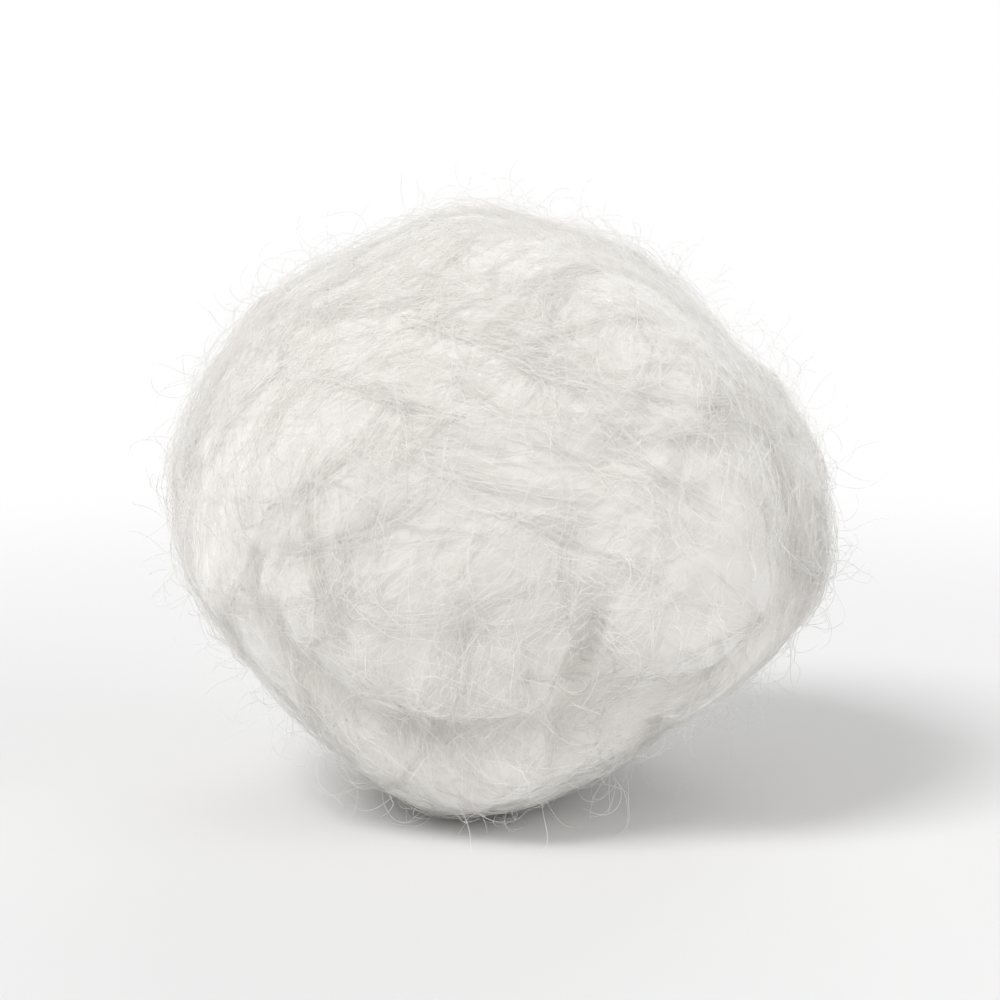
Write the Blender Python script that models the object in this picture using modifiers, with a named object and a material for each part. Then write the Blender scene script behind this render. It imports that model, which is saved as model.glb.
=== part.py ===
"""A cotton ball: one loose wad of bleached cotton, rolled up and pressed a little out of round.

The wad is one piece with nothing inside it, so it is one object. Metres, +Z up, the front towards -Y.
The origin is the middle of the small flat that the ball rests on. A place on the ball is given by two
angles in degrees: how far round from the front, towards the right, and how far up from its middle.
"""

import math

import bmesh
import bpy
from mathutils import Vector, noise

# The ball as it lies: side to side, front to back, and from its flat to its crown.
WIDTH = 0.030
DEPTH = 0.028
HEIGHT = 0.0265

# The small flat underneath, and how high up it takes to turn into the sides.
REST_WIDTH = 0.007
REST_EASE = 0.0004

# The soft flats where the wad has been pressed: how deep one goes at strength 1, and how soft its
# border is.
PRESS_DEPTH = 0.0012
PRESS_EASE = 0.0034
# Each one's place, and its strength.
PRESSES = (
    (4, 4, 1.20),
    (82, 52, 0.95),
    (-84, -48, 2.00),
    (74, -58, 1.90),
    (136, 2, 0.80),
    (-144, 12, 0.90),
    (178, -50, 1.10),
)

# The folds of the outer layer. At strength 1 its edge stands this far up, over this breadth,
# and the layer thins away behind the edge over this distance.
FOLD_STEP = 0.00110
FOLD_EDGE = 0.0026
FOLD_RUN = 0.0060
# A groove lies along the foot of the edge.
GROOVE_DEPTH = 0.00085
GROOVE_WIDTH = 0.0015
# The edge wanders a little from side to side.
FOLD_WANDER = 0.0010
# Each fold runs from one place to another: it starts deep and dies away. After the two places come
# its sideways bow in degrees, and its strength.
FOLDS = (
    ((26, -30), (-54, 14), 26, 0.60),
    ((22, -24), (54, 30), -18, 0.55),
    ((20, -6), (16, -46), 2, 0.55),
    ((30, -28), (70, -26), -10, 0.30),
    ((-158, 28), (-88, -10), -18, 0.75),
    ((-160, 34), (-52, 54), 18, 0.50),
    ((-152, 24), (168, -36), 14, 0.65),
    ((-164, 26), (112, 34), -16, 0.65),
    ((98, 10), (132, -34), 12, 0.45),
)

# The two places where the line that the wad is rolled about comes out, and the fibre is tucked in.
TUCKS = ((24, -26), (-156, 28))
TUCK_DEPTH = 0.0016
TUCK_WIDTH = 0.0024

# Low swellings all over, where the fibre is thicker, and finer ones on them.
LUMP_HEIGHT = 0.00050
LUMP_SPACING = 0.0074
LUMP_ROUGHNESS = 0.35

# The cage's cells along each of its six sides, and how often each cell is halved.
CAGE_CELLS = 7
HALVINGS = 2

COTTON_COLOUR = (0.887, 0.863, 0.807, 1.0)
COTTON_ROUGHNESS = 0.95


def mean_radius():
    return (WIDTH + DEPTH + HEIGHT) / 6


def way(round_degrees, up_degrees):
    """The direction from the middle of the ball to a place on it."""
    turn, lift = math.radians(round_degrees), math.radians(up_degrees)
    return Vector((math.sin(turn) * math.cos(lift), -math.cos(turn) * math.cos(lift), math.sin(lift)))


def eased(share):
    """Rises from 0 to 1 as share does, level at both ends."""
    share = min(max(share, 0.0), 1.0)
    return share * share * (3.0 - 2.0 * share)


def start_empty():
    """Removes what the scene holds and makes the collection for the ball."""
    for old in list(bpy.data.objects):
        bpy.data.objects.remove(old, do_unlink=True)
    collection = bpy.data.collections.new("cotton_ball_model")
    bpy.context.scene.collection.children.link(collection)
    return collection


def cotton():
    """Bleached cotton: a dull, warm white."""
    material = bpy.data.materials.new("bleached_cotton")
    material.use_nodes = True
    shader = material.node_tree.nodes["Principled BSDF"]
    shader.inputs["Base Color"].default_value = COTTON_COLOUR
    shader.inputs["Roughness"].default_value = COTTON_ROUGHNESS
    shader.inputs["Metallic"].default_value = 0.0
    return material


def pressed(point, direction, limit, ease):
    """The point, moved back along direction so that none lies past limit, with a soft border of ease."""
    past = point.dot(direction) - (limit - ease)
    if past <= 0.0:
        return point
    kept = ease if past >= 2 * ease else past - past * past / (4 * ease)
    return point + direction * (kept - past)


def egg_with_flats(direction):
    """Where the plain form ends in that direction: an egg with its soft flats."""
    radii = Vector((WIDTH / 2, DEPTH / 2, HEIGHT / 2))
    point = direction * radii
    for turn, lift, strength in PRESSES:
        lean = way(turn, lift)
        point = pressed(point, lean, (lean * radii).length - PRESS_DEPTH * strength, PRESS_EASE)
    return point


def soft_cage():
    """A cube cut into cells and blown out to the plain form, as a mesh of few points."""
    cage = bmesh.new()
    bmesh.ops.create_cube(cage, size=2.0)
    bmesh.ops.subdivide_edges(cage, edges=cage.edges[:], cuts=CAGE_CELLS - 1, use_grid_fill=True)
    for vert in cage.verts:
        even = Vector(math.tan(value * math.pi / 4) for value in vert.co)
        vert.co = egg_with_flats(even.normalized())
    mesh = bpy.data.meshes.new("cotton_ball_cage")
    cage.to_mesh(mesh)
    cage.free()
    return mesh


def subdivided(mesh):
    """The mesh with its cells halved smoothly, as a new bmesh."""
    holder = bpy.data.objects.new("cage", mesh)
    bpy.context.scene.collection.objects.link(holder)
    halving = holder.modifiers.new("halving", "SUBSURF")
    halving.levels = halving.render_levels = HALVINGS
    finished = holder.evaluated_get(bpy.context.evaluated_depsgraph_get())
    body = bmesh.new()
    body.from_mesh(finished.to_mesh())
    bpy.data.objects.remove(holder, do_unlink=True)
    return body


def fold(direction, start, end, bow, strength):
    """How far one fold raises or lowers the surface there."""
    across = start.cross(end).normalized()
    along = math.atan2(direction.dot(across.cross(start)), direction.dot(start)) / start.angle(end)
    if not 0.0 < along < 1.0:
        return 0.0
    bowed = math.radians(bow) * math.sin(math.pi * along)
    wander = FOLD_WANDER * noise.noise(direction * (mean_radius() / LUMP_SPACING))
    past = (math.asin(direction.dot(across)) - bowed) * mean_radius() + wander
    step = FOLD_STEP * eased(past / FOLD_EDGE + 0.5) * math.exp(-max(past, 0.0) / FOLD_RUN)
    groove = GROOVE_DEPTH * math.exp(-(((past + FOLD_EDGE / 2) / GROOVE_WIDTH) ** 2))
    return strength * eased(along * 6) * eased((1 - along) * 1.6) * (step - groove)


def relief(direction, folds):
    """How far the surface stands out of its plain form in that direction."""
    height = sum(fold(direction, *one) for one in folds)
    for place in TUCKS:
        far = direction.angle(way(*place)) * mean_radius()
        height -= TUCK_DEPTH * math.exp(-((far / TUCK_WIDTH) ** 2))
    spot = direction * (mean_radius() / LUMP_SPACING)
    return height + LUMP_HEIGHT * (noise.noise(spot) + LUMP_ROUGHNESS * noise.noise(spot * 2))


def fit(body, size):
    """Stretches the body to its real size, centred over the origin, its lowest point at zero."""
    low = [min(vert.co[k] for vert in body.verts) for k in range(3)]
    high = [max(vert.co[k] for vert in body.verts) for k in range(3)]
    for vert in body.verts:
        share = [(vert.co[k] - low[k]) / (high[k] - low[k]) for k in range(3)]
        vert.co = ((share[0] - 0.5) * size[0], (share[1] - 0.5) * size[1], share[2] * size[2])


def underside_sink():
    """How far the round underside gives way to make a flat of REST_WIDTH."""
    curve = WIDTH * DEPTH / (2 * HEIGHT)
    half = min(REST_WIDTH / 2, curve)
    return REST_EASE + curve - math.sqrt(curve * curve - half * half)


def cotton_ball(collection):
    """The wad: its plain form, then its folds, tucks and swellings, then the flat that it rests on."""
    body = subdivided(soft_cage())
    folds = [(way(*start), way(*end), bow, strength) for start, end, bow, strength in FOLDS]
    for vert in body.verts:
        direction = vert.co.normalized()
        vert.co += direction * relief(direction, folds)
    bmesh.ops.smooth_vert(body, verts=body.verts, factor=0.5, use_axis_x=True, use_axis_y=True, use_axis_z=True)
    sink = underside_sink()
    fit(body, (WIDTH, DEPTH, HEIGHT + sink))
    for vert in body.verts:
        vert.co.z -= sink
        vert.co = pressed(vert.co, Vector((0, 0, -1)), 0.0, REST_EASE)
    mesh = bpy.data.meshes.new("cotton_ball")
    body.to_mesh(mesh)
    body.free()
    mesh.shade_smooth()
    mesh.materials.append(cotton())
    collection.objects.link(bpy.data.objects.new("cotton_ball", mesh))


cotton_ball(start_empty())
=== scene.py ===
# %% [markdown]
# # A cotton ball
# A cotton ball is one loose length of carded cotton, bleached white and rolled up. From a step away it is
# a soft egg with a few folds. Close to, it has no skin at all: it is thousands of fine fibres that lie
# over each other, deeper ones in shade and the last ones standing free in the air.
#
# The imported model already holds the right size, the folds and the flat that the ball lies on. This script
# keeps that form and builds what the eye meets on it, in layers: a dense wad, a mat of fibres combed
# round it, locks of fibre that lie together, small loops, and a thin halo of stray ends.

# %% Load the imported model
import math
import random

import bmesh
import bpy
from mathutils import Matrix, Vector, noise
from mathutils.bvhtree import BVHTree


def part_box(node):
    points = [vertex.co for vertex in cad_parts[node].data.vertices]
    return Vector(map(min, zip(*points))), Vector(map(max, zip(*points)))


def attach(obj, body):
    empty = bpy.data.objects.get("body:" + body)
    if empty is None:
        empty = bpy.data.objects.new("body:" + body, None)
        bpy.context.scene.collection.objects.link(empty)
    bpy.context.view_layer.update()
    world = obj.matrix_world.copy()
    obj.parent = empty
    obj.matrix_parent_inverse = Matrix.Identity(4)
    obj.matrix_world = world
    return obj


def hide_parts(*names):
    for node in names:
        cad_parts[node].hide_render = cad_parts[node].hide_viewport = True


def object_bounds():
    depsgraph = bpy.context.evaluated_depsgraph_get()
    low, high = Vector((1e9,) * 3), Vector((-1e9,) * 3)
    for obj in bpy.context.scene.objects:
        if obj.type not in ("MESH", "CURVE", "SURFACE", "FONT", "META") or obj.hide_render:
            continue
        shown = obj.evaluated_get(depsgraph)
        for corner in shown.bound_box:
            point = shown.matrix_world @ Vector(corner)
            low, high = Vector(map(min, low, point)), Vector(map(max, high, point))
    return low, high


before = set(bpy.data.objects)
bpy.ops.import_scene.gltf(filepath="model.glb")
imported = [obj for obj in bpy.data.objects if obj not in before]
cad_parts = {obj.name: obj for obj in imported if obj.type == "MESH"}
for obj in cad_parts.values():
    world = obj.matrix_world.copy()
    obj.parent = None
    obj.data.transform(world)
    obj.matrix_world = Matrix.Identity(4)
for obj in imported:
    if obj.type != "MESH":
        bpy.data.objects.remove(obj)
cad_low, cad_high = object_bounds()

MM = 0.001
size = cad_high - cad_low
print("The packed ball is", [round(side / MM, 1) for side in size], "mm")

# %% [markdown]
# Everything on the ball is placed by two things: its middle, and the line that the fibre was rolled
# about. The line comes out low on the front and high on the back, where the model has its two tucks.

# %% Find the middle and the line of the roll
low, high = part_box("cotton_ball")
middle = (Vector(low) + Vector(high)) / 2
radius = sum(size) / 6


def way(round_degrees, up_degrees):
    """The direction from the middle to a place on the ball: degrees round from the front, degrees up."""
    turn, lift = math.radians(round_degrees), math.radians(up_degrees)
    return Vector((math.sin(turn) * math.cos(lift), -math.cos(turn) * math.cos(lift), math.sin(lift)))


ROLL_LINE = way(24, -26)
print("The middle is", [round(value / MM, 1) for value in middle], "mm")

# %% [markdown]
# ## The wad
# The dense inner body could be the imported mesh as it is, but its triangles are nearly a millimetre long
# and would show as facets between the fibres. So a copy is merged and remeshed into small even cells.

# %% Copy the ball's form and remesh it
CELL = 0.28 * MM


def finished(holder):
    """The object's mesh with its modifiers applied, as a new mesh."""
    graph = bpy.context.evaluated_depsgraph_get()
    return bpy.data.meshes.new_from_object(holder.evaluated_get(graph))


def link(name, mesh):
    """A new object for a mesh, in the scene."""
    holder = bpy.data.objects.new(name, mesh)
    bpy.context.scene.collection.objects.link(holder)
    return holder


def remeshed(source, cell):
    """A copy of a mesh, merged and rebuilt from even cells."""
    merged = bmesh.new()
    merged.from_mesh(source)
    bmesh.ops.remove_doubles(merged, verts=merged.verts, dist=1e-6)
    mesh = bpy.data.meshes.new("merged")
    merged.to_mesh(mesh)
    merged.free()
    holder = link("merged", mesh)
    cells = holder.modifiers.new("cells", "REMESH")
    cells.mode = "VOXEL"
    cells.voxel_size = cell
    even = holder.modifiers.new("even", "SMOOTH")
    even.factor = 0.5
    even.iterations = 4
    result = finished(holder)
    bpy.data.objects.remove(holder, do_unlink=True)
    return result


wad_mesh = remeshed(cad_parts["cotton_ball"].data, CELL)
print("The wad has", len(wad_mesh.polygons), "cells")

# %% [markdown]
# Carded fibre lies in soft ropes and hollows that run the way it was rolled. Noise alone gives round
# lumps. Adding a fast change along the roll's line to the place where the noise is read squeezes the
# lumps that way, so they become streaks that circle the line, as the real layers do.

# %% Work out the streaks and puffs
ROPE_WIDTH = 1.2 * MM
ROPE_LENGTH = 6.0 * MM
ROPE_HEIGHT = 0.15 * MM
PUFF_SIZE = 4.2 * MM
PUFF_HEIGHT = 0.30 * MM
# Finer puffs lie on the large ones. They are so many times smaller, and have this share of the height.
FINER = 2.3
FINER_HEIGHT = 0.35
# Taken off, this makes hollows as common as swellings.
PUFF_MEAN = 0.3


def streaked(point, length, width):
    """Noise drawn out round the roll's line: length along its streaks, width across them."""
    out = point - middle
    return noise.noise(out / length + ROLL_LINE * (out.dot(ROLL_LINE) / width))


def puff(point):
    """Soft round swellings with creases between them, about level on the whole."""
    coarse = abs(noise.noise(point / PUFF_SIZE))
    fine = abs(noise.noise(point / PUFF_SIZE * FINER))
    return coarse + FINER_HEIGHT * fine - PUFF_MEAN


print("A rope is", round(ROPE_WIDTH / MM, 2), "mm wide and a puff", round(PUFF_SIZE / MM, 2), "mm across")

# %% [markdown]
# The outer layer of a rolled wad ends in a few soft edges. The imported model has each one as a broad
# step, and the eye looks for a thin dark line along its foot. Each crease here follows one of the
# model's folds: it runs from one place to another, bows aside on the way and dies away.

# %% Work out the creases
CREASE_DEPTH = 0.70 * MM
CREASE_WIDTH = 0.65 * MM
# The foot lies this far before the middle of the step, and both wander aside over this distance.
CREASE_FOOT = 1.3 * MM
CREASE_WANDER = 1.0 * MM
WANDER_SIZE = 7.4 * MM
# A crease deepens over the first fifth of its way and dies away over the last half.
CREASE_RISE = 5.0
CREASE_FALL = 2.0
# Each one's first and last place, its sideways bow in degrees, and its strength.
CREASES = (
    ((26, -30), (-54, 14), 26, 0.55),
    ((22, -24), (54, 30), -18, 0.60),
    ((20, -6), (16, -46), 2, 1.00),
    ((30, -28), (70, -26), -10, 0.45),
    ((-158, 28), (-88, -10), -18, 0.50),
    ((-160, 34), (-52, 54), 18, 0.45),
    ((-152, 24), (168, -36), 14, 0.45),
    ((-164, 26), (112, 34), -16, 0.50),
    ((98, 10), (132, -34), 12, 0.45),
)
creases = [(way(*start), way(*end), math.radians(bow), strength) for start, end, bow, strength in CREASES]


def crease(out, start, end, bow, strength):
    """How deep one crease is in a direction from the middle, from 0 to its strength."""
    across = start.cross(end).normalized()
    along = math.atan2(out.dot(across.cross(start)), out.dot(start)) / start.angle(end)
    if not 0.0 < along < 1.0:
        return 0.0
    aside = (math.asin(out.dot(across)) - bow * math.sin(math.pi * along)) * radius
    foot = aside + CREASE_FOOT + CREASE_WANDER * noise.noise(out * (radius / WANDER_SIZE))
    fade = min(1.0, along * CREASE_RISE) * min(1.0, (1.0 - along) * CREASE_FALL)
    return strength * fade * math.exp(-((foot / CREASE_WIDTH) ** 2))


print("There are", len(creases), "creases, the deepest", round(CREASE_DEPTH / MM, 2), "mm deep")

# %% [markdown]
# The form is the surface that the fibres lie on. The wad itself is drawn in a little below it, because
# the fibres make up its full size again.

# %% Shape the form, then draw the wad in below it
DRAW_IN = 0.18 * MM


def relief(point):
    """How far the form stands out there, in metres."""
    out = (point - middle).normalized()
    raised = ROPE_HEIGHT * streaked(point, ROPE_LENGTH, ROPE_WIDTH) + PUFF_HEIGHT * puff(point)
    return raised - CREASE_DEPTH * max(crease(out, *one) for one in creases)


outward = [vertex.normal.copy() for vertex in wad_mesh.vertices]
for vertex, normal in zip(wad_mesh.vertices, outward):
    vertex.co += normal * relief(vertex.co)
form = BVHTree.FromPolygons([v.co for v in wad_mesh.vertices], [p.vertices for p in wad_mesh.polygons])
for vertex, normal in zip(wad_mesh.vertices, outward):
    vertex.co -= normal * DRAW_IN
    vertex.co.z = max(vertex.co.z, 0.0)
wad_mesh.update()
wad_mesh.shade_smooth()
wad = link("cotton_ball_wad", wad_mesh)
print("The wad's crown is", round(max(v.co.z for v in wad_mesh.vertices) / MM, 1), "mm up")

# %% [markdown]
# ## Laying fibres
# A hair system would draw these fibres, but it isn't a mesh and other programs lose it. A picture of
# fibres on the surface is flat, and its edge is as sharp as the wad's. So each fibre is a real thin tube.
# A guide line walks over the ball's form: it sets out near the lie of the fibre there, bends a little at
# each step, and is put back on the form after it. A walk that followed the lie at every step would kink
# wherever the lie turns quickly, and real fibre is too springy for that.

# %% Walk a guide line over the ball's form
SWIRL_SIZE = 8.0 * MM
# How much a swirl pulls the lie aside, where 1 is as much as the roll itself.
SWIRL = 1.4
# Places in the noise far from each other, one for each axis, so that the three don't rise together.
SWIRL_SHIFTS = (Vector((9.3, 1.5, 2.7)), Vector((5.3, 7.1, 8.9)), Vector((4.7, 3.3, 6.1)))


def on_form(point):
    """The nearest place on the ball's form, and the way out of it there."""
    place, normal, _, _ = form.find_nearest(point)
    return place, normal


def swirl(point):
    """A direction and strength that change slowly from place to place."""
    return Vector(noise.noise(point / SWIRL_SIZE + shift) for shift in SWIRL_SHIFTS)


def lie(point, normal):
    """The way the fibre runs there: round the roll's line, pulled aside in slow swirls."""
    run = ROLL_LINE.cross(point - middle).normalized() + SWIRL * swirl(point)
    return (run - normal * run.dot(normal)).normalized()


def anywhere(chance):
    """A random direction from the middle, with no direction favoured."""
    turn = chance.uniform(0.0, math.tau)
    up = chance.uniform(-1.0, 1.0)
    flat = math.sqrt(1.0 - up * up)
    return Vector((flat * math.cos(turn), flat * math.sin(turn), up))


def evenly(chance, index, count):
    """The index-th of count directions that cover the ball evenly, each one a little off its place."""
    up = 1.0 - 2.0 * (index + 0.5) / count
    flat = math.sqrt(1.0 - up * up)
    turn = index * math.pi * (3.0 - math.sqrt(5.0))
    spot = Vector((flat * math.cos(turn), flat * math.sin(turn), up))
    return (spot + anywhere(chance) / math.sqrt(count)).normalized()


def guide(chance, start, steps, step, off_lie, bend):
    """A walk over the form, as (place, way out, sideways) at each step. It sets out about off_lie
    degrees off the lie."""
    place, normal = on_form(middle + start * radius)
    heading = Matrix.Rotation(math.radians(chance.gauss(0.0, off_lie)), 3, normal) @ lie(place, normal)
    steady = chance.gauss(0.0, bend)
    walk = []
    for _ in range(steps):
        side = normal.cross(heading)
        walk.append((place, normal, side))
        heading = (heading + side * chance.gauss(steady, bend)).normalized()
        place, normal = on_form(place + heading * step)
        heading = (heading - normal * heading.dot(normal)).normalized()
    return walk


# %% [markdown]
# A lock is a few fibres along one guide. They start a little apart, cross or draw together on the way,
# rise off the wad in the middle and dive back into it at both ends, so that no cut end shows. Each place
# is put back on the form before it is raised, or a fibre beside its guide would run through a swelling.
# Underneath they rise less and less, because the ball lies on them.

# %% Lay a lock of fibres along a guide
# No place of a fibre lies lower than this over the table.
LEAST_HEIGHT = 0.03 * MM
# A fibre that faces straight down keeps at least this share of its rise. Freedom grows this fast as
# the way out turns up.
LEAST_FREEDOM = 0.3
FREEDOM_GROWTH = 1.6
# Both ends of a fibre dive this far below the form.
SINK = 0.20 * MM
# The lowest fibre of a lock has this share of the lock's lift.
LEAST_RISE = 0.2
# A fibre weaves aside by this share of the lock's spread, in a wave that goes on for so many radians.
WEAVE = 0.25
WEAVE_TURN = 9.0


def freedom(out):
    """The share of its rise that a fibre keeps where the way out is out. It is least underneath."""
    return min(1.0, max(LEAST_FREEDOM, FREEDOM_GROWTH * (1.0 + out.z)))


def lock(chance, walk, fibres, spread, lift):
    """The fibres along one guide, each a list of places."""
    runs = []
    for _ in range(fibres):
        start, end = chance.gauss(0.0, spread), chance.gauss(0.0, spread)
        rise, wave = lift * chance.uniform(LEAST_RISE, 1.0), chance.uniform(0.0, math.tau)
        run = []
        for index, (place, _, side) in enumerate(walk):
            share = index / (len(walk) - 1)
            aside = start + (end - start) * share + WEAVE * spread * math.sin(wave + WEAVE_TURN * share)
            spot, out = on_form(place + side * aside)
            height = rise * math.sin(math.pi * share) * freedom(out) - SINK
            point = spot + out * height
            point.z = max(point.z, LEAST_HEIGHT)
            run.append(point)
        runs.append(run)
    return runs


# %% [markdown]
# A real cotton fibre is 0.012 to 0.020 mm across. These are as fine as the thicker ones, which is under
# half a pixel in a picture of the whole ball, so they show as a soft grain and not as hairs. Each one is
# a curve with a three-sided profile, the least that closes, and it thins out towards both ends.

# %% Turn runs of places into one mesh of thin tubes
FIBRE_WIDTH = 0.020 * MM
# The share of its width that a fibre has at its ends, and what it gains towards its middle.
END_WIDTH = 0.35
WIDTH_GAIN = 0.75


def three_sided(width):
    """The profile that is drawn along each fibre."""
    outline = bpy.data.curves.new("three_sided", "CURVE")
    outline.dimensions = "2D"
    ring = outline.splines.new("POLY")
    ring.points.add(2)
    for corner, point in enumerate(ring.points):
        turn = corner * math.tau / 3
        point.co = (width / 2 * math.cos(turn), width / 2 * math.sin(turn), 0.0, 1.0)
    ring.use_cyclic_u = True
    return link("three_sided", outline)


def tubes(name, runs, width):
    """A piece made of thin closed tubes, one along each run."""
    profile = three_sided(width)
    curve = bpy.data.curves.new(name, "CURVE")
    curve.dimensions = "3D"
    curve.bevel_mode = "OBJECT"
    curve.bevel_object = profile
    curve.use_fill_caps = True
    for run in runs:
        last = len(run) - 1
        line = curve.splines.new("POLY")
        line.points.add(last)
        for index, point in enumerate(run):
            line.points[index].co = (*point, 1.0)
            line.points[index].radius = END_WIDTH + WIDTH_GAIN * math.sin(math.pi * index / last) ** 0.5
        line.use_smooth = True
    holder = link("drawn", curve)
    caps = holder.modifiers.new("caps", "WELD")
    caps.merge_threshold = 1e-7
    mesh = finished(holder)
    bpy.data.objects.remove(holder, do_unlink=True)
    bpy.data.objects.remove(profile, do_unlink=True)
    mesh.name = name
    triangles = sum(len(face.vertices) - 2 for face in mesh.polygons)
    print(name, "has", len(runs), "fibres and", triangles, "triangles")
    return link(name, mesh)


# %% [markdown]
# ## The mat
# The mat is what the eye takes for the ball's surface. Its fibres are laid in threes, mostly with the
# lie and some well across it. It has three layers, each a piece of a size that other programs open
# easily. The lowest hugs the wad and the last is loose, so the ball's edge thins out and is never sharp.

# %% Lay the mat
MAT_LIFTS = (0.24 * MM, 0.40 * MM, 0.85 * MM)
MAT_GUIDES = 1150
mats = []
for number, lift in enumerate(MAT_LIFTS):
    chance = random.Random(100 + number)
    runs = []
    for index in range(MAT_GUIDES):
        start = evenly(chance, index, MAT_GUIDES)
        walk = guide(chance, start, steps=9, step=0.72 * MM, off_lie=38.0, bend=0.08)
        runs += lock(chance, walk, fibres=3, spread=0.55 * MM, lift=lift)
    mats.append(tubes(f"cotton_ball_mat_{number + 1}", runs, FIBRE_WIDTH))

# %% [markdown]
# ## Locks
# Carding never parts the fibres evenly, so here and there a dozen or so lie together as a soft lock
# that stands a little proud. They give the surface its larger, brushed texture.

# %% Lay the locks
LOCKS = 110
chance = random.Random(200)
runs = []
for index in range(LOCKS):
    start = evenly(chance, index, LOCKS)
    walk = guide(chance, start, steps=11, step=0.85 * MM, off_lie=18.0, bend=0.06)
    lift = chance.uniform(0.25, 0.48) * MM
    runs += lock(chance, walk, fibres=14, spread=0.38 * MM, lift=lift)
locks = tubes("cotton_ball_locks", runs, FIBRE_WIDTH)

# %% [markdown]
# ## Loops and strays
# A few fibres have slipped out of the mat. Most make a low loop and go back in; a few end in the air.
# Both walk freely: each step turns a little towards a wandering direction, and a pull back to the ball
# keeps them close. None starts near the flat that the ball lies on.

# %% Let loops and strays wander off the surface
LOOPS = 3400
STRAYS = 450
STRAY_WIDTH = 0.9 * FIBRE_WIDTH
# How far down a fibre may start, where -1 is straight below the middle.
LOWEST_START = -0.85
# How much each step changes the way that a fibre bends.
NEW_BEND = 0.7


def wander(chance, steps, step, rise, curl, pull):
    """A fibre that leaves the wad and curls in the air. A larger rise sends it off more steeply."""
    start = anywhere(chance)
    while start.z < LOWEST_START:
        start = anywhere(chance)
    place, normal = on_form(middle + start * radius)
    heading = Matrix.Rotation(chance.uniform(0.0, math.tau), 3, normal) @ lie(place, normal)
    heading = (heading + normal * rise).normalized()
    bend = anywhere(chance)
    run = []
    for _ in range(steps):
        run.append(Vector((place.x, place.y, max(place.z, LEAST_HEIGHT))))
        bend = (bend + NEW_BEND * anywhere(chance)).normalized()
        out = (place - middle).normalized()
        heading = (heading + curl * heading.cross(bend) - pull * out).normalized()
        place = place + heading * step
    return run


chance = random.Random(300)
runs = []
for _ in range(LOOPS):
    rise = chance.uniform(0.3, 0.9)
    runs.append(wander(chance, steps=10, step=0.34 * MM, rise=rise, curl=0.30, pull=0.19))
loops = tubes("cotton_ball_loops", runs, FIBRE_WIDTH)
chance = random.Random(400)
runs = []
for _ in range(STRAYS):
    rise = chance.uniform(0.4, 1.1)
    runs.append(wander(chance, steps=16, step=0.26 * MM, rise=rise, curl=0.24, pull=0.11))
strays = tubes("cotton_ball_strays", runs, STRAY_WIDTH)

# %% [markdown]
# ## Finish
# Bleached cotton is a dull, slightly warm white. Each fibre is clear cellulose, and so many of them
# scatter the light that none of it keeps a colour. Two helpers come first: one turns the colours that a
# person would pick into the values that shaders use, and one adds a node with its settings and links.

# %% Helpers for materials


def linear(code):
    """An sRGB colour such as "F3F1EC" as the linear values that the shaders use."""
    parts = [int(code[index:index + 2], 16) / 255 for index in (0, 2, 4)]
    return (*(p / 12.92 if p <= 0.04045 else ((p + 0.055) / 1.055) ** 2.4 for p in parts), 1.0)


def node(tree, kind, settings, inputs):
    """Adds a node. Settings are its own options. An input, by name or number, is a value or a socket
    to link."""
    made = tree.nodes.new(kind)
    for name, value in settings.items():
        setattr(made, name, value)
    for name, value in inputs.items():
        if isinstance(value, bpy.types.NodeSocket):
            tree.links.new(value, made.inputs[name])
        else:
            made.inputs[name].default_value = value
    return made


# %% [markdown]
# Both finishes start from the same cotton. Its two tones are a breath apart and change over small
# patches, because the fibre is bleached evenly but packed unevenly. The roughness is high and the shine
# low. Light goes on through a loose wad and comes out all over, so the lit side turns to shade slowly:
# the rough diffuse does that, and a little sheen adds the glow of the finest down at the edges.

# %% Cotton


def cotton(name, light, dark, patch, roughness):
    """A cotton material in two near tones, and the place that its patterns read."""
    material = bpy.data.materials.new(name)
    material.use_nodes = True
    tree = material.node_tree
    shader = tree.nodes["Principled BSDF"]
    place = node(tree, "ShaderNodeTexCoord", {}, {}).outputs["Object"]
    spots = node(tree, "ShaderNodeTexNoise", {}, {"Vector": place, "Scale": 1 / patch, "Detail": 3.0})
    # A colour mix has its share in socket 0 and its two colours in sockets 6 and 7.
    tones = {0: spots.outputs["Fac"], 6: linear(dark), 7: linear(light)}
    tone = node(tree, "ShaderNodeMix", {"data_type": "RGBA"}, tones)
    tree.links.new(tone.outputs[2], shader.inputs["Base Color"])
    shader.inputs["Roughness"].default_value = roughness
    shader.inputs["IOR"].default_value = 1.53
    shader.inputs["Specular IOR Level"].default_value = 0.15
    shader.inputs["Diffuse Roughness"].default_value = 0.8
    shader.inputs["Sheen Weight"].default_value = 0.4
    shader.inputs["Sheen Roughness"].default_value = 0.6
    return material, place


fibre_cotton, _ = cotton("bleached_cotton_fibre", "FCFBF9", "F7F5F2", 0.6 * MM, 0.7)
# The wad's two tones are a little darker than the fibre's. That is painted shade: deeper fibres lie in the
# shade of those over them, and the smooth wad would not show it.
wad_cotton, wad_place = cotton("carded_cotton_wad_painted_shade", "F4F2EF", "EEEBE7", 2.5 * MM, 0.95)

# %% [markdown]
# The wad is seen between the fibres, so it must look like more fibre, deeper in. Single fibres are too
# fine to draw there, so its bump starts from streaks 0.12 mm across, as of eight fibres side by side. It
# is noise drawn out along the lie, once round the roll's line and once well across it, and both bent by
# a slow swirl so that no streak runs straight.

# %% Comb the wad's surface
STREAK_WIDTH = 0.12 * MM
STREAK_LENGTH = 2.6 * MM
STREAK_DEPTH = 0.05 * MM
# How far the slow swirl moves a streak aside.
STREAK_SWAY = SWIRL_SIZE / 3
CROSS_LINE = way(-70, 30)


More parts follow.
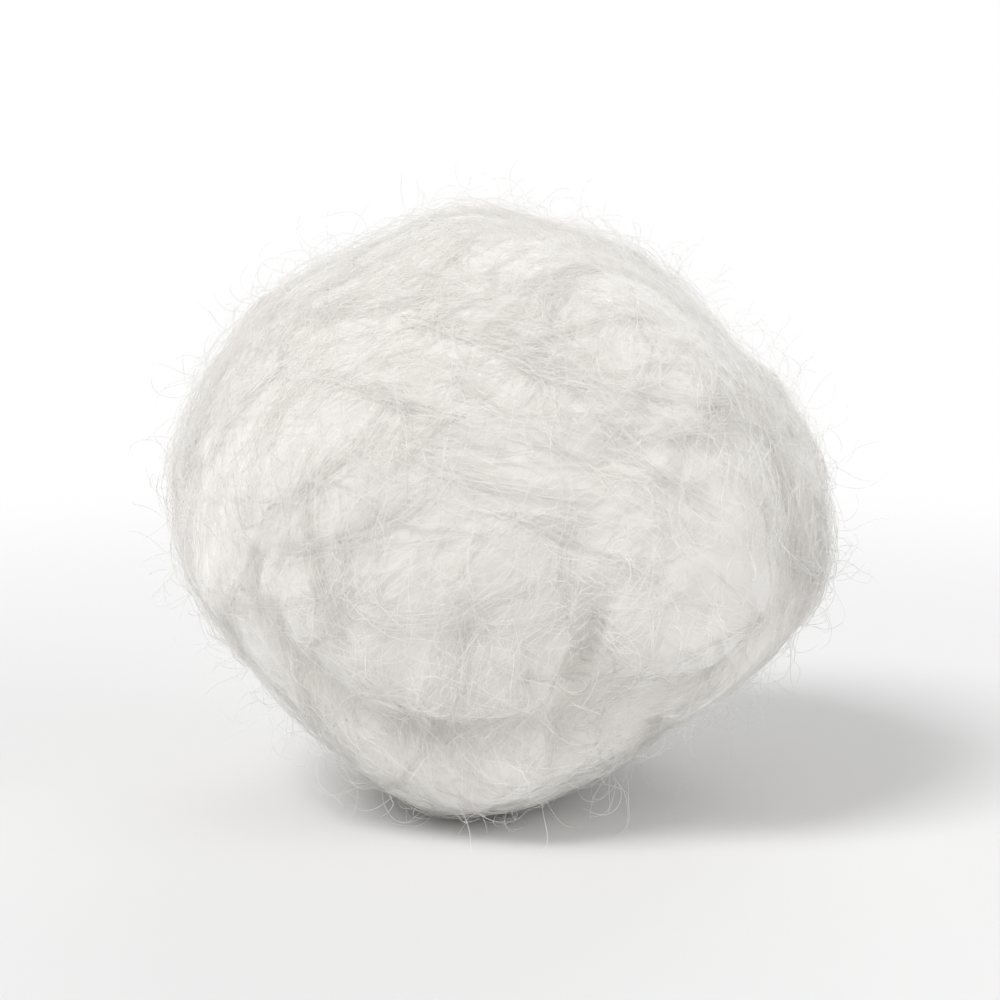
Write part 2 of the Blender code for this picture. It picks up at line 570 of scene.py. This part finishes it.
def combed(tree, place, line):
    """The height of streaks that circle the line, from 0 to 1."""
    slow = node(tree, "ShaderNodeTexNoise", {}, {"Vector": place, "Scale": 1 / SWIRL_SIZE, "Detail": 1.0})
    added = {0: slow.outputs["Color"], 1: (STREAK_SWAY,) * 3, 2: place}
    bent = node(tree, "ShaderNodeVectorMath", {"operation": "MULTIPLY_ADD"}, added)
    turned = line.to_track_quat("Z", "Y").to_euler()
    drawn = {"Location": middle, "Rotation": turned, "Scale": (STREAK_LENGTH, STREAK_LENGTH, STREAK_WIDTH)}
    laid = node(tree, "ShaderNodeMapping", {"vector_type": "TEXTURE"}, {"Vector": bent.outputs[0], **drawn})
    streaks = {"Vector": laid.outputs[0], "Scale": 1.0, "Detail": 4.0}
    return node(tree, "ShaderNodeTexNoise", {}, streaks).outputs["Fac"]


tree = wad_cotton.node_tree
rolled = combed(tree, wad_place, ROLL_LINE)
crossed = combed(tree, wad_place, CROSS_LINE)
higher = node(tree, "ShaderNodeMath", {"operation": "MAXIMUM"}, {0: rolled, 1: crossed})
streaks = {"Strength": 1.0, "Distance": STREAK_DEPTH, "Height": higher.outputs[0]}
raised = node(tree, "ShaderNodeBump", {}, streaks).outputs["Normal"]
tree.links.new(raised, tree.nodes["Principled BSDF"].inputs["Normal"])
print("The wad's finish has", len(tree.nodes), "nodes")

# %% [markdown]
# Every piece of loose fibre wears the same finish. The wad has its own, because it stands for fibre that
# is too fine and too deep to draw. Its tones are a little darker, as painted shade of that depth.

# %% Put the finishes on
fibres = [*mats, locks, loops, strays]
for piece, finish in [(wad, wad_cotton), *((piece, fibre_cotton) for piece in fibres)]:
    piece.data.materials.clear()
    piece.data.materials.append(finish)
print("The wad wears", wad_cotton.name, "and", len(fibres), "pieces wear", fibre_cotton.name)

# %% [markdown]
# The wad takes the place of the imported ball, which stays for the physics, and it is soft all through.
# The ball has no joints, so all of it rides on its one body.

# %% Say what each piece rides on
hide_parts("cotton_ball")
for piece in [wad, *fibres]:
    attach(piece, "root")
print(1 + len(fibres), "pieces ride on the root")

# %% [markdown]
# ## Studio
# The ball lies on a round sheet of white paper, wide enough that no view of the ball finds its edge.

# %% Lay the paper
PAPER_RADIUS = 600 * MM
disc = bmesh.new()
bmesh.ops.create_circle(disc, cap_ends=True, segments=96, radius=PAPER_RADIUS)
paper_mesh = bpy.data.meshes.new("floor")
disc.to_mesh(paper_mesh)
disc.free()
floor = link("floor", paper_mesh)
print("The paper is", round(2 * PAPER_RADIUS / MM), "mm across")

# %% [markdown]
# Behind the ball it should be plain white from every side. A backdrop would have to turn with the camera
# for that. Instead the sky shows plain white to the camera, and so does the paper from a little way out,
# where the ball's shadow has faded. Gloss and glass would show the same white. The soft light between
# the paper and the ball isn't touched: for it the paper stays a real white table.

# %% White paper that fades into the white around it
# Between these distances from the middle of the table the paper turns plain white.
FADE_START = 35 * MM
FADE_END = 110 * MM
WHITE = (1.0, 1.0, 1.0, 1.0)


def looked_at(tree):
    """1 for a ray that shows what lies behind: from the camera, off gloss or through glass. Else 0."""
    ray = node(tree, "ShaderNodeLightPath", {}, {}).outputs
    direct = {0: ray["Is Camera Ray"], 1: ray["Is Glossy Ray"]}
    mirrored = node(tree, "ShaderNodeMath", {"operation": "MAXIMUM"}, direct).outputs[0]
    either = {0: mirrored, 1: ray["Is Transmission Ray"]}
    return node(tree, "ShaderNodeMath", {"operation": "MAXIMUM"}, either).outputs[0]


paper = bpy.data.materials.new("white_paper")
paper.use_nodes = True
tree = paper.node_tree
shader = tree.nodes["Principled BSDF"]
shader.inputs["Base Color"].default_value = linear("E2E2E2")
shader.inputs["Roughness"].default_value = 0.9
place = node(tree, "ShaderNodeTexCoord", {}, {}).outputs["Object"]
distance = node(tree, "ShaderNodeVectorMath", {"operation": "LENGTH"}, {0: place}).outputs["Value"]
span = {"Value": distance, "From Min": FADE_START, "From Max": FADE_END}
faded = node(tree, "ShaderNodeMapRange", {"interpolation_type": "SMOOTHSTEP"}, span).outputs["Result"]
share = node(tree, "ShaderNodeMath", {"operation": "MULTIPLY"}, {0: faded, 1: looked_at(tree)}).outputs[0]
plain = node(tree, "ShaderNodeEmission", {}, {"Color": WHITE, "Strength": 1.0}).outputs[0]
shown = node(tree, "ShaderNodeMixShader", {}, {0: share, 1: shader.outputs[0], 2: plain}).outputs[0]
tree.links.new(shown, tree.nodes["Material Output"].inputs["Surface"])
floor.data.materials.append(paper)
print("The paper is plain white from", round(FADE_END / MM), "mm out")

# %% [markdown]
# A white object on white needs light that comes mostly from one side, or its form is lost. A large
# lamp from the upper left does that, two weak ones keep the far sides from going dull, and an even sky
# fills the rest.

# %% Lamps and sky
SKY_LIGHT = 0.52


def lamp(name, place, width, power):
    """A soft square lamp that faces the ball: its place and width in metres, its power in watts."""
    light = bpy.data.lights.new(name, "AREA")
    light.size = width
    light.energy = power
    holder = bpy.data.objects.new(name, light)
    bpy.context.scene.collection.objects.link(holder)
    holder.location = place
    holder.rotation_euler = (middle - Vector(place)).to_track_quat("-Z", "Y").to_euler()


lamp("key", (-0.44, -0.34, 0.70), 0.34, 4.9)
lamp("fill", (0.72, -0.30, 0.30), 0.60, 1.8)
lamp("back", (0.20, 0.75, 0.45), 0.60, 1.7)
sky = bpy.data.worlds.new("sky")
bpy.context.scene.world = sky
sky.use_nodes = True
tree = sky.node_tree
light = tree.nodes["Background"]
light.inputs["Color"].default_value = WHITE
light.inputs["Strength"].default_value = SKY_LIGHT
plain = node(tree, "ShaderNodeBackground", {}, {"Color": WHITE, "Strength": 1.0}).outputs[0]
either = {0: looked_at(tree), 1: light.outputs[0], 2: plain}
shown = node(tree, "ShaderNodeMixShader", {}, either).outputs[0]
tree.links.new(shown, tree.nodes["World Output"].inputs["Surface"])

# %% [markdown]
# The camera looks at the middle of the ball from a little above, as in the photograph. A long lens from
# further off keeps the ball's shape true, where a short one from close by would swell its middle. Light
# goes to and fro many times in cotton, and with the usual four bounces its hollows would go grey, so
# there are more here.

# %% Camera
LENS = 85.0
VIEW_UP = 8.0
VIEW_WIDTH = 46.0 * MM
view = bpy.data.cameras.new("camera")
view.lens = LENS
view.clip_start = 1 * MM
camera = bpy.data.objects.new("camera", view)
bpy.context.scene.collection.objects.link(camera)
toward = way(0.0, VIEW_UP)
camera.location = middle + toward * (VIEW_WIDTH * LENS / view.sensor_width)
camera.rotation_euler = (-toward).to_track_quat("-Z", "Y").to_euler()
bpy.context.scene.camera = camera
bpy.context.scene.view_settings.view_transform = "Standard"
bpy.context.scene.cycles.diffuse_bounces = 7
print("The camera stands", round((camera.location - middle).length / MM), "mm from the middle of the ball")
